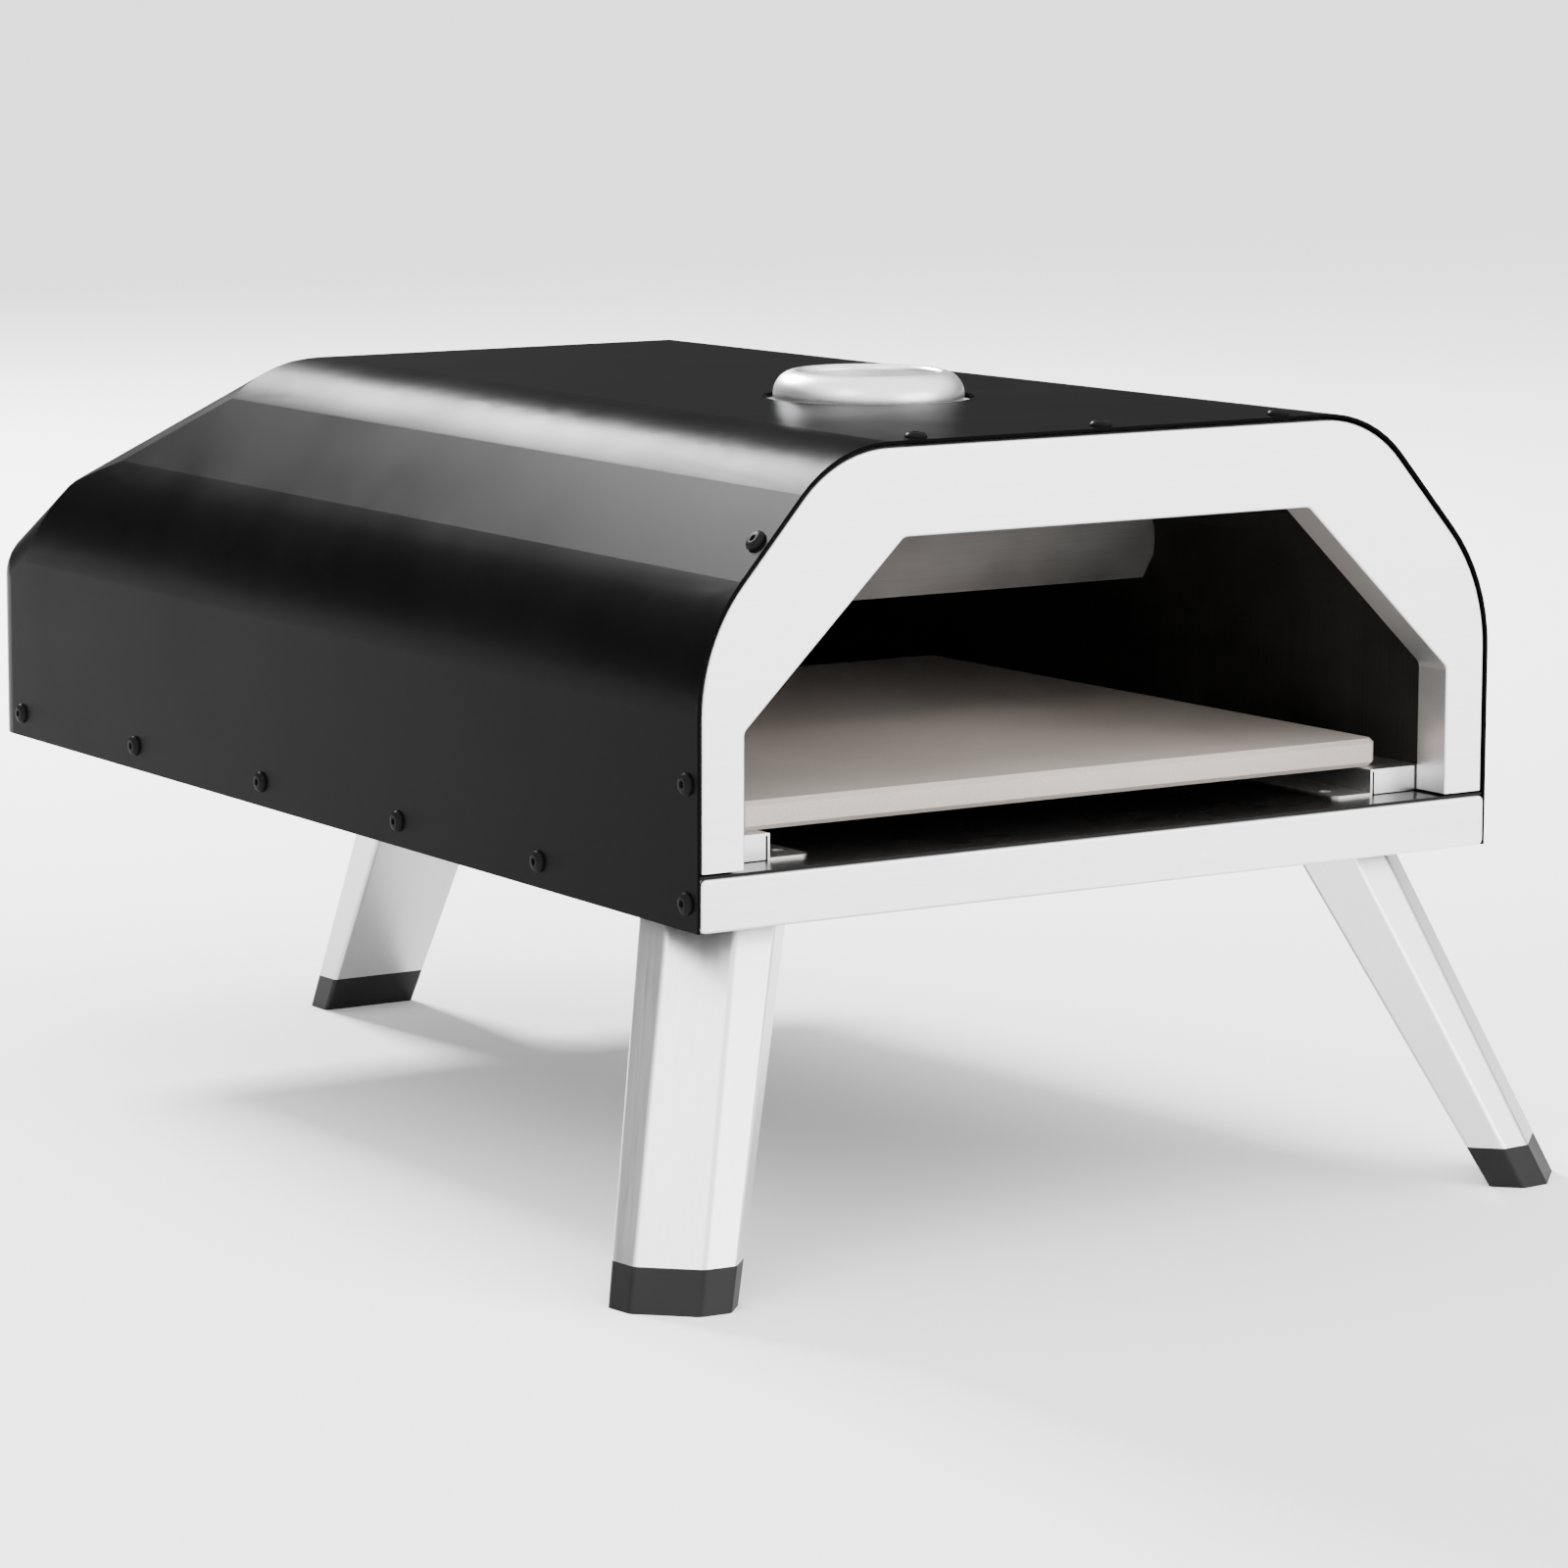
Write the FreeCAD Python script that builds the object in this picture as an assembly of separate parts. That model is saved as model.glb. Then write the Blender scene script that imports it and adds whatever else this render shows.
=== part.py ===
import FreeCAD, Part
import math
import os

from FreeCAD import Vector

# Tabletop wood fired pizza oven. Millimetres.
# Working frame: x = 0 on the oven's centre line, y = 0 on the front plate's face
# with +y to the rear, z = 0 on the lower edge of the shell. Every piece is moved at
# the end so that the origin is the centre of the assembly's footprint on the ground.

# ---- body ---------------------------------------------------------------------------
BODY_FRONT_HALF = 201.5      # half width of the shell at the front
BODY_TAPER = 0.040           # the side walls close in by this much per mm of depth
BODY_DEPTH = 665.0
ROOF_Z = 189.3
SHOULDER_LOW = (201.5, 115.2)
SHOULDER_HIGH = (136.0, 189.3)
SHOULDER_LOW_R = 80.0
SHOULDER_HIGH_R = 56.0
ROOF_REAR_Y = 484.0          # where the roof turns down to the rear
REAR_WALL_TOP = 90.0         # height of the upright rear wall
BODY_R = 24.0                # bends of the rear end
RUN_OUT = 60.0               # extra length drawn before the front and base are trimmed
SHEET = 1.2                  # outer sheet steel
LINER_OUT = 16.0             # chamber wall lies this far inside the shell
LINER_SHEET = 1.0
BLANKET_OUT = 2.6            # outer and inner faces of the insulation
BLANKET_IN = 15.6
BLANKET_FRONT_Y = 18.0
FLOOR_GAP = 0.4              # clearance of the inner layers from the parts beside them

# ---- front --------------------------------------------------------------------------
PLATE_OUTLINE = ((199.2, 23.6), (199.2, 114.3), (134.9, 186.8))
PLATE_LOW_R = 78.0
PLATE_HIGH_R = 54.0
MOUTH_OUTLINE = ((179.1, 23.6), (179.1, 78.2), (102.9, 150.7))
MOUTH_R = 4.0
PLATE_FLANGE = 16.0
MOUTH_FLANGE = 18.5
BEND_R = 1.1
SILL_HALF = 200.0
SILL_FACE_Y = -1.0
SILL_TOP = 21.4
SILL_RETURN = 14.0
SILL_CORNER_R = 2.5

# ---- floor --------------------------------------------------------------------------
PAN_TOP = 22.6
PAN_FRONT_Y = 0.6
PAN_INSET = 1.6
PAN_SKIRT_Z = 1.4

# ---- stone and its rails ------------------------------------------------------------
STONE_HALF = 165.0
STONE_FRONT_Y = 27.0
STONE_DEPTH = 330.0
STONE_Z = 33.6
STONE_THICK = 12.0
STONE_BEVEL = 2.0
STONE_CORNER = 4.0
RAIL_WEB_X = 155.3
RAIL_FLANGE = 20.8
RAIL_FRONT_Y = 19.5
RAIL_REAR_Y = 357.0
RAIL_SHEET = 1.0
RAIL_GAP = 0.5
RAIL_FOOT_R = 4.0
RAIL_HOLE = (141.0, 33.5)
RAIL_HOLE_R = 2.6
RAIL_SCREW_Y = (110.0, 300.0)
RAIL_SCREW_X = 145.0

# ---- flue ---------------------------------------------------------------------------
FLUE_Y = 174.0
FLUE_R = 30.0
FLUE_HOLE_R = 45.5
COLLAR_R = 41.0
COLLAR_Z = 188.3
COLLAR_TOP = 200.5
COLLAR_SHEET = 1.4
COLLAR_LIP = 2.4             # size of the rolled lip
DOME_MIDDLE = (0.30, 0.74)   # how the dome curves, as shares of its width and rise
SLEEVE_FLANGE_R = 43.0

# ---- baffle -------------------------------------------------------------------------
BAFFLE_LOW = (205.0, 97.5)   # (y, z) of its lower and upper edges
BAFFLE_HIGH = (172.0, 145.0)
BAFFLE_HALF = 172.0
BAFFLE_SHEET = 1.2
BAFFLE_TAB = 14.0
FIT_GAP = 0.3                # welded inner parts stand this far off the chamber walls

# ---- legs ---------------------------------------------------------------------------
GROUND_Z = -146.1
LEG_TURN = 44.5              # the front legs stand on the body's diagonals, degrees
FRONT_FOOT = (227.9, -17.2)  # centre of the wide outer face on the ground
REAR_FOOT_Y = 630.5
LEG_FACE = 28.4              # width of the outer face
LEG_LEAN_OUT = 0.510         # run of the outer face per mm of height
LEG_LEAN_IN = 0.598          # run of the inner face per mm of height
FOOT_CHAMFER = (10.6, 8.9)
HEAD_CHAMFER = (14.0, 12.4)
FOOT_DEPTH = 24.2
LEG_SHEET = 1.5
LEG_TOP_Z = 8.0
LEG_BEND_R = 4.0
CAP_HEIGHT = 17.0
PLUG_HEIGHT = 12.0
PIVOT_Z = 3.0
PIVOT_IN = 11.0              # pivot to the leg's inner face
PIN_R = 3.0
PIN_FIT = 0.05
PIN_HEAD = (5.0, 2.2)
BRACKET_GAP = 0.6
BRACKET_SHEET = 2.0
CHEEK_BOTTOM = -5.0
STOP_GAP = 0.4
BRACKET_NOSE_HALF = 13.0     # bracket outline, measured from the pivot
BRACKET_REACH = (-27.0, -12.0, 16.0)
BRACKET_CORNER_R = 2.0
EAR_TOP = (-11.0, 15.0)      # cheek outline: (outer, inner) distance from the pivot
EAR_TIP = (-5.0, 5.0)
EAR_WAIST_Z = (4.0, 8.0)
EAR_R = (0, 3, 4, 4, 4, 0)
STOP_HALF = 10.0
STOP_THICK = 3.0
BRACKET_SCREWS = ((-20.0, -2.0), (20.0, -2.0), (-20.0, 10.0), (20.0, 10.0))
BRACKET_SCREW_HEAD = (3.5, 1.0)

# ---- fuel drawer --------------------------------------------------------------------
PORT_HALF = 95.0
PORT_Z = (24.4, 58.5)
PORT_SHEET = 1.0
DRAWER_HALF = 108.0
DRAWER_Z = (10.0, 64.0)
DRAWER_SHEET = 2.0
DRAWER_CORNER_R = 6.0
DRAWER_GAP = 0.4             # closed drawer front to the rear wall
TRAY_HALF = 90.0
TRAY_FRONT_Y = 500.0
TRAY_Z = (25.2, 57.0)
TRAY_SHEET = 1.2
GRATE_Z = 33.5
GRATE_SHEET = 1.5
GRATE_SIDE_GAP = 0.5
GRATE_REAR_GAP = 4.0
GRATE_SLOT = (6.0, 56.0)     # width, length
GRATE_SLOT_X = range(-72, 73, 12)
GRATE_SLOT_Y = (514.0, 590.0)
LEDGE_WIDTH = 6.0
LEDGE_THICK = 2.0
VENT_X = range(-70, 71, 20)
VENT_Z = 29.0
VENT_R = 2.5
HANDLE_HALF = 48.0
HANDLE_R = 4.5
HANDLE_REACH = 30.0
HANDLE_Z = 40.0
HANDLE_BEND_R = 14.0
HANDLE_THREAD = 5.0

# ---- screws -------------------------------------------------------------------------
SCREW_HEAD_R = 4.6
SCREW_HEAD_H = 2.3
SCREW_SHANK_R = 2.0
SCREW_LENGTH = 6.0
SOCKET_R = 1.7
SOCKET_DEPTH = 1.3
SCREW_FIT = 0.2
RIM_SHARE = 0.35             # shape of the head, as shares of its height and radius
CROWN_SHARE = 0.45
BULGE_SHARE = (0.80, 0.83)
SMALL_HEAD = (4.0, 2.0)      # radius and height of the rail and handle screws' heads
RAIL_SCREW_LENGTH = 1.9
SIDE_SCREW_Y = (8.5, 127.0, 249.0, 378.0, 507.0, 631.5)
SIDE_SCREW_Z = 11.0
UPPER_SIDE_SCREW = (8.5, 58.5)
ROOF_SCREW_X = (-92.0, 0.0, 92.0)
FRONT_SCREW_Y = 8.5

X_AXIS = Vector(1, 0, 0)
Y_AXIS = Vector(0, 1, 0)
Z_AXIS = Vector(0, 0, 1)


# ---- helpers ------------------------------------------------------------------------
def on_front(u, v, depth):
    return Vector(u, depth, v)


def on_side(u, v, depth):
    return Vector(depth, u, v)


def on_plan(u, v, depth):
    return Vector(u, v, depth)


def inset(points, distance):
    """Moves every edge of a counter-clockwise outline inwards."""
    lines = []
    count = len(points)
    for i in range(count):
        (x0, y0), (x1, y1) = points[i], points[(i + 1) % count]
        length = math.hypot(x1 - x0, y1 - y0)
        nx, ny = -(y1 - y0) / length, (x1 - x0) / length
        lines.append((x0 + nx * distance, y0 + ny * distance, x1 - x0, y1 - y0))
    moved = []
    for i in range(count):
        ax, ay, adx, ady = lines[i - 1]
        bx, by, bdx, bdy = lines[i]
        t = ((bx - ax) * bdy - (by - ay) * bdx) / (adx * bdy - ady * bdx)
        moved.append((ax + adx * t, ay + ady * t))
    return moved


def rounded_wire(points, radii, place, depth):
    """Closed outline with an arc of the given radius at each corner."""
    count = len(points)
    corners = []
    for i in range(count):
        here = Vector(*points[i], 0)
        before = (Vector(*points[i - 1], 0) - here).normalize()
        after = (Vector(*points[(i + 1) % count], 0) - here).normalize()
        if radii[i] <= 0:
            corners.append((here, None, here))
            continue
        half = before.getAngle(after) / 2
        reach = radii[i] / math.tan(half)
        middle = (before + after).normalize()
        tip = here + middle * (radii[i] / math.sin(half) - radii[i])
        corners.append((here + before * reach, tip, here + after * reach))
    edges = []
    for i in range(count):
        start, tip, end = corners[i]
        if tip is not None:
            arc = [place(p.x, p.y, depth) for p in (start, tip, end)]
            edges.append(Part.Arc(*arc).toShape())
        following = corners[(i + 1) % count][0]
        if end.distanceToPoint(following) > 1e-6:
            line_end = place(following.x, following.y, depth)
            edges.append(Part.makeLine(place(end.x, end.y, depth), line_end))
    return Part.Wire(Part.__sortEdges__(edges))


def prism(points, radii, place, start, end):
    wire = rounded_wire(points, radii, place, start)
    travel = place(0, 0, end) - place(0, 0, start)
    return Part.Face(wire).extrude(travel)


def box(x, y, z):
    return Part.makeBox(x[1] - x[0], y[1] - y[0], z[1] - z[0], Vector(x[0], y[0], z[0]))


def mirrored(shape):
    return shape.mirror(Vector(0, 0, 0), X_AXIS)


def both_sides(shape):
    return [shape, mirrored(shape)]


def arch(points, floor_z):
    """Full left-right outline of an arch given by its right half, from the floor up."""
    right = [(points[0][0], floor_z)] + list(points[1:])
    left = [(-x, z) for x, z in reversed(right)]
    return right + left


def body_half(y):
    return BODY_FRONT_HALF - BODY_TAPER * y


# ---- the body's form ----------------------------------------------------------------
def arched_prism(thickness, radii, front_y, floor_z):
    """Arch-shaped block whose side walls and shoulders close in towards the rear."""
    right = [(-BODY_FRONT_HALF, floor_z), (BODY_FRONT_HALF, floor_z), SHOULDER_LOW, SHOULDER_HIGH,
             (-BODY_FRONT_HALF, ROOF_Z)]
    right = inset(right, thickness)
    right = [(-2 * BODY_FRONT_HALF, floor_z), (right[1][0], floor_z), right[2], right[3],
             (-2 * BODY_FRONT_HALF, right[4][1])]
    right = [(x - BODY_TAPER * front_y, z) for x, z in right]
    low, high = radii
    wire = rounded_wire(right, [0, 0, low, high, 0], on_front, front_y)
    length = BODY_DEPTH + 1 - front_y
    half = Part.Face(wire).extrude(Vector(-BODY_TAPER * length, length, 0))
    return half.common(mirrored(half))


def side_profile(thickness, front_y, floor_z, radii):
    side = inset([(front_y, floor_z), (BODY_DEPTH, floor_z), (BODY_DEPTH, REAR_WALL_TOP),
                  (ROOF_REAR_Y, ROOF_Z), (front_y, ROOF_Z)], thickness)
    side = [(front_y, floor_z), (side[1][0], floor_z), side[2], side[3], (front_y, side[4][1])]
    wall_r, roof_r = radii
    return prism(side, [0, 0, wall_r, roof_r, 0], on_side, -BODY_FRONT_HALF - 1, BODY_FRONT_HALF + 1)


def shoulder_radii(thickness):
    return SHOULDER_LOW_R - thickness, SHOULDER_HIGH_R - thickness


def body_form(thickness, front_y, floor_z):
    """Solid block inside the body, every face moved in by the thickness."""
    bend = BODY_R - thickness
    arch_block = arched_prism(thickness, shoulder_radii(thickness), front_y, floor_z)
    return arch_block.common(side_profile(thickness, front_y - 1, floor_z, (bend, bend)))


def shell_form(thickness, front_y, floor_z):
    """The body's outer form, with every bend of the rear end rounded."""
    start, base = front_y - RUN_OUT, floor_z - RUN_OUT
    block = arched_prism(thickness, (0, 0), start, base)
    block = block.common(side_profile(thickness, start - 1, base, (0, 0)))
    bends = [e for e in block.Edges if e.BoundBox.YMax > start + 1 and e.BoundBox.ZMax > base + 1]
    block = block.makeFillet(BODY_R - thickness, bends)
    shoulders = arched_prism(thickness, shoulder_radii(thickness), start, base)
    reach = BODY_FRONT_HALF + 1
    kept = box((-reach, reach), (front_y, BODY_DEPTH + 1), (floor_z, ROOF_Z + 1))
    return block.common(shoulders).common(kept)


def body_layer(outer, inner, front_y, floor_z):
    return body_form(outer, front_y, floor_z).cut(body_form(inner, front_y - 1, floor_z - 1))


def shell_room():
    """The space inside the shell's sheet."""
    return shell_form(SHEET, -1, -1)


def side_normal():
    """Outward direction of the left wall."""
    turn = math.atan(BODY_TAPER)
    return Vector(-math.cos(turn), math.sin(turn), 0)


# ---- screws -------------------------------------------------------------------------
def screw(seat, outward, length=SCREW_LENGTH, head_r=SCREW_HEAD_R, head_h=SCREW_HEAD_H):
    """Button-head screw with a hexagon socket; its seat is under the head."""
    centre = Vector(0, 0, 0)
    rim_low = Vector(head_r, 0, 0)
    rim_high = Vector(head_r, 0, head_h * RIM_SHARE)
    crown = Vector(head_r * CROWN_SHARE, 0, head_h)
    top = Vector(0, 0, head_h)
    bulge = Part.Arc(rim_high, Vector(head_r * BULGE_SHARE[0], 0, head_h * BULGE_SHARE[1]), crown)
    edges = [Part.makeLine(centre, rim_low), Part.makeLine(rim_low, rim_high), bulge.toShape(),
             Part.makeLine(crown, top), Part.makeLine(top, centre)]
    head = Part.Face(Part.Wire(edges)).revolve(centre, Z_AXIS, 360)
    corners = []
    for step in range(7):
        angle = math.radians(60 * step)
        corners.append(Vector(SOCKET_R * math.cos(angle), SOCKET_R * math.sin(angle), head_h - SOCKET_DEPTH))
    socket = Part.Face(Part.makePolygon(corners)).extrude(Vector(0, 0, SOCKET_DEPTH + 1))
    shank = Part.makeCylinder(SCREW_SHANK_R, length, Vector(0, 0, -length))
    solid = head.fuse(shank).cut(socket)
    solid.Placement = FreeCAD.Placement(seat, FreeCAD.Rotation(Z_AXIS, outward))
    return solid


def screw_hole(seat, outward, depth=8.0):
    return Part.makeCylinder(SCREW_SHANK_R + SCREW_FIT, depth, seat + outward, outward * -1)


def side_seat(y, z):
    return Vector(-body_half(y), y, z)


def shoulder_seat():
    """Middle of the left shoulder's flat, at the front row of screws."""
    x = (SHOULDER_LOW[0] + SHOULDER_HIGH[0]) / 2 - BODY_TAPER * FRONT_SCREW_Y
    return Vector(-x, FRONT_SCREW_Y, (SHOULDER_LOW[1] + SHOULDER_HIGH[1]) / 2)


def shoulder_normal():
    """Outward direction of the left shoulder, which closes in to the rear like the walls."""
    dx = SHOULDER_LOW[0] - SHOULDER_HIGH[0]
    dz = SHOULDER_HIGH[1] - SHOULDER_LOW[1]
    return Vector(-dz, dz * BODY_TAPER, dx).normalize()


side_places = [(side_seat(y, SIDE_SCREW_Z), side_normal()) for y in SIDE_SCREW_Y]
front_places = [(side_seat(*UPPER_SIDE_SCREW), side_normal()), (shoulder_seat(), shoulder_normal())]
roof_places = [(Vector(x, FRONT_SCREW_Y, ROOF_Z), Z_AXIS) for x in ROOF_SCREW_X]


# ---- shell, front and floor ---------------------------------------------------------
def make_shell():
    shell = shell_form(0, 0, 0).cut(shell_room())
    cuts = [Part.makeCylinder(FLUE_HOLE_R, 40, Vector(0, FLUE_Y, ROOF_Z - 20))]
    for seat, outward in side_places + front_places:
        cuts += both_sides(screw_hole(seat, outward))
    cuts += [screw_hole(seat, outward) for seat, outward in roof_places]
    cuts.append(box((-PORT_HALF, PORT_HALF), (BODY_DEPTH - 10, BODY_DEPTH + 10), PORT_Z))
    return shell.cut(Part.makeCompound(cuts))


def make_front_plate():
    outline = arch(PLATE_OUTLINE, PLATE_OUTLINE[0][1])
    mouth = arch(MOUTH_OUTLINE, MOUTH_OUTLINE[0][1])
    outer_radii = [0, PLATE_LOW_R, PLATE_HIGH_R, PLATE_HIGH_R, PLATE_LOW_R, 0]
    inner_radii = [max(r - SHEET, 0) for r in outer_radii]
    mouth_radii = [0, MOUTH_R, MOUTH_R, MOUTH_R, MOUTH_R, 0]
    collar_radii = [r + SHEET if r else 0 for r in mouth_radii]
    floor_z = PLATE_OUTLINE[0][1]

    def open_below(points, distance):
        moved = inset(points, distance)
        moved[0] = (moved[0][0], floor_z)
        moved[-1] = (moved[-1][0], floor_z)
        return moved

    skin = prism(outline, outer_radii, on_front, 0, PLATE_FLANGE)
    hollow = prism(open_below(outline, SHEET), inner_radii, on_front, SHEET, PLATE_FLANGE + 1)
    frame = prism(open_below(mouth, -SHEET), collar_radii, on_front, 0, MOUTH_FLANGE)
    opening = prism(mouth, mouth_radii, on_front, -1, MOUTH_FLANGE + 1)
    plate = skin.cut(hollow).fuse(frame).cut(opening)
    rim = [e for e in plate.Edges if e.BoundBox.YMax < 1e-4 and e.BoundBox.ZMax > floor_z + 1e-3]
    plate = plate.makeFillet(BEND_R, rim)
    holes = []
    for seat, outward in front_places + side_places[:1]:
        holes += both_sides(screw_hole(seat, outward))
    holes += [screw_hole(seat, outward) for seat, outward in roof_places]
    return plate.cut(Part.makeCompound(holes))


def make_front_sill():
    face = [(-SILL_HALF, 0), (SILL_HALF, 0), (SILL_HALF, SILL_TOP), (-SILL_HALF, SILL_TOP)]
    radii = [SILL_CORNER_R] * 4
    solid = prism(face, radii, on_front, SILL_FACE_Y, SILL_FACE_Y + SILL_RETURN)
    inner = inset(face, SHEET)
    inner_radii = [SILL_CORNER_R - SHEET] * 4
    hollow = prism(inner, inner_radii, on_front, SILL_FACE_Y + SHEET, SILL_FACE_Y + SILL_RETURN + 1)
    ends = [box((s * SILL_HALF - 4, s * SILL_HALF + 4), (PAN_FRONT_Y, 40), (-1, SILL_TOP + 1)) for s in (-1, 1)]
    sill = solid.cut(hollow).cut(Part.makeCompound(ends))
    rim = [e for e in sill.Edges if e.BoundBox.YMax < SILL_FACE_Y + 1e-4]
    return sill.makeFillet(BEND_R, rim)


def make_floor_pan():
    def plan_block(thickness, low, high, front):
        rear = BODY_DEPTH - PAN_INSET - thickness
        points = [(body_half(y) - PAN_INSET - thickness, y) for y in (front, rear)]
        points = points + [(-x, y) for x, y in reversed(points)]
        corner = BODY_R - PAN_INSET - thickness
        return prism(points, [0, corner, corner, 0], on_plan, low, high)

    tray = plan_block(0, PAN_SKIRT_Z, PAN_TOP, PAN_FRONT_Y)
    tray = tray.cut(plan_block(SHEET, PAN_SKIRT_Z - 1, PAN_TOP - SHEET, PAN_FRONT_Y - 1))
    sill_room = box((-SILL_HALF, SILL_HALF), (PAN_FRONT_Y - 1, SILL_FACE_Y + SILL_RETURN + 1), (-1, SILL_TOP))
    tray = tray.cut(sill_room)
    cuts = []
    for seat, outward in side_places:
        cuts += both_sides(screw_hole(seat, outward, 10.0))
    cuts += [Part.makeCylinder(SCREW_SHANK_R, 4, Vector(x, y, PAN_TOP - 2)) for x, y in rail_screw_places()]
    return tray.cut(Part.makeCompound(cuts))


# ---- chamber ------------------------------------------------------------------------
def port_block(grow, start, end):
    return box((-PORT_HALF - grow, PORT_HALF + grow), (start, end), (PORT_Z[0] - grow, PORT_Z[1] + grow))


def make_chamber():
    front = SHEET + FLOOR_GAP
    chamber = body_layer(LINER_OUT, LINER_OUT + LINER_SHEET, front, PAN_TOP)
    flue = Part.makeCylinder(FLUE_R, 30, Vector(0, FLUE_Y, ROOF_Z - LINER_OUT - 15))
    return chamber.cut(flue).cut(port_block(0, BODY_DEPTH - 40, BODY_DEPTH + 5))


def make_blanket():
    blanket = body_layer(BLANKET_OUT, BLANKET_IN, BLANKET_FRONT_Y, PAN_TOP + FLOOR_GAP)
    blanket = blanket.common(shell_room())
    flue = Part.makeCylinder(FLUE_HOLE_R, 60, Vector(0, FLUE_Y, ROOF_Z - 40))
    return blanket.cut(flue).cut(port_block(PORT_SHEET + FLOOR_GAP, BODY_DEPTH - 40, BODY_DEPTH + 5))


def make_port_sleeve():
    start = BODY_DEPTH - LINER_OUT
    end = BODY_DEPTH - SHEET
    return port_block(PORT_SHEET, start, end).cut(port_block(0, start - 1, end + 1))


def make_baffle():
    low, high = Vector(0, *BAFFLE_LOW), Vector(0, *BAFFLE_HIGH)
    along = (high - low).normalize()
    across = Vector(0, -along.z, along.y)
    corners = [low, high, high + across * BAFFLE_SHEET, low + across * BAFFLE_SHEET]
    section = Part.Face(Part.makePolygon(corners + corners[:1]))
    section.translate(Vector(-BAFFLE_HALF, 0, 0))
    plate = section.extrude(Vector(2 * BAFFLE_HALF, 0, 0))
    tab = [low, high, high - across * BAFFLE_TAB, low - across * BAFFLE_TAB]
    side = Part.Face(Part.makePolygon(tab + tab[:1]))
    side.translate(Vector(BAFFLE_HALF - BAFFLE_SHEET, 0, 0))
    side = side.extrude(Vector(BAFFLE_SHEET, 0, 0))
    inside = body_form(LINER_OUT + LINER_SHEET + FIT_GAP, SHEET, PAN_TOP)
    return plate.fuse(both_sides(side)).common(inside)


# ---- flue ---------------------------------------------------------------------------
def revolved(points, centre_y):
    ring = [Vector(r, 0, z) for r, z in points]
    face = Part.Face(Part.makePolygon(ring + ring[:1]))
    solid = face.revolve(Vector(0, 0, 0), Z_AXIS, 360)
    solid.translate(Vector(0, centre_y, 0))
    return solid


def make_flue_sleeve():
    foot = ROOF_Z - LINER_OUT
    outer = FLUE_R + COLLAR_SHEET
    return revolved([(FLUE_R, foot), (SLEEVE_FLANGE_R, foot), (SLEEVE_FLANGE_R, foot + SHEET),
                     (outer, foot + SHEET), (outer, COLLAR_Z), (FLUE_R, COLLAR_Z)], FLUE_Y)


def make_collar():
    """Domed ring with a rolled lip; its bore continues the flue sleeve."""
    sleeve_r = FLUE_R + COLLAR_SHEET
    lip_r = FLUE_R + COLLAR_LIP
    under_top = COLLAR_TOP - COLLAR_SHEET

    def dome(base_r, top_z):
        rise = top_z - COLLAR_Z
        middle = Vector(base_r - (base_r - lip_r) * DOME_MIDDLE[0], 0, COLLAR_Z + rise * DOME_MIDDLE[1])
        return Part.Arc(Vector(base_r, 0, COLLAR_Z), middle, Vector(lip_r, 0, top_z)).toShape()

    roll_end = Vector(FLUE_R, 0, COLLAR_TOP - COLLAR_LIP)
    roll_in = COLLAR_LIP * (1 - math.sqrt(0.5))
    roll_middle = Vector(FLUE_R + roll_in, 0, COLLAR_TOP - roll_in)
    inside = [roll_end, Vector(FLUE_R, 0, COLLAR_Z), Vector(sleeve_r, 0, COLLAR_Z),
              Vector(sleeve_r, 0, under_top), Vector(lip_r, 0, under_top)]
    edges = [dome(COLLAR_R, COLLAR_TOP), dome(COLLAR_R - COLLAR_SHEET, under_top),
             Part.Arc(Vector(lip_r, 0, COLLAR_TOP), roll_middle, roll_end).toShape(),
             Part.makeLine(Vector(COLLAR_R - COLLAR_SHEET, 0, COLLAR_Z), Vector(COLLAR_R, 0, COLLAR_Z))]
    edges += [Part.makeLine(*ends) for ends in zip(inside, inside[1:])]
    solid = Part.Face(Part.Wire(Part.__sortEdges__(edges))).revolve(Vector(0, 0, 0), Z_AXIS, 360)
    solid.translate(Vector(0, FLUE_Y, 0))
    return solid


# ---- stone --------------------------------------------------------------------------
def rail_screw_places():
    return [(s * RAIL_SCREW_X, y) for s in (-1, 1) for y in RAIL_SCREW_Y]


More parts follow.
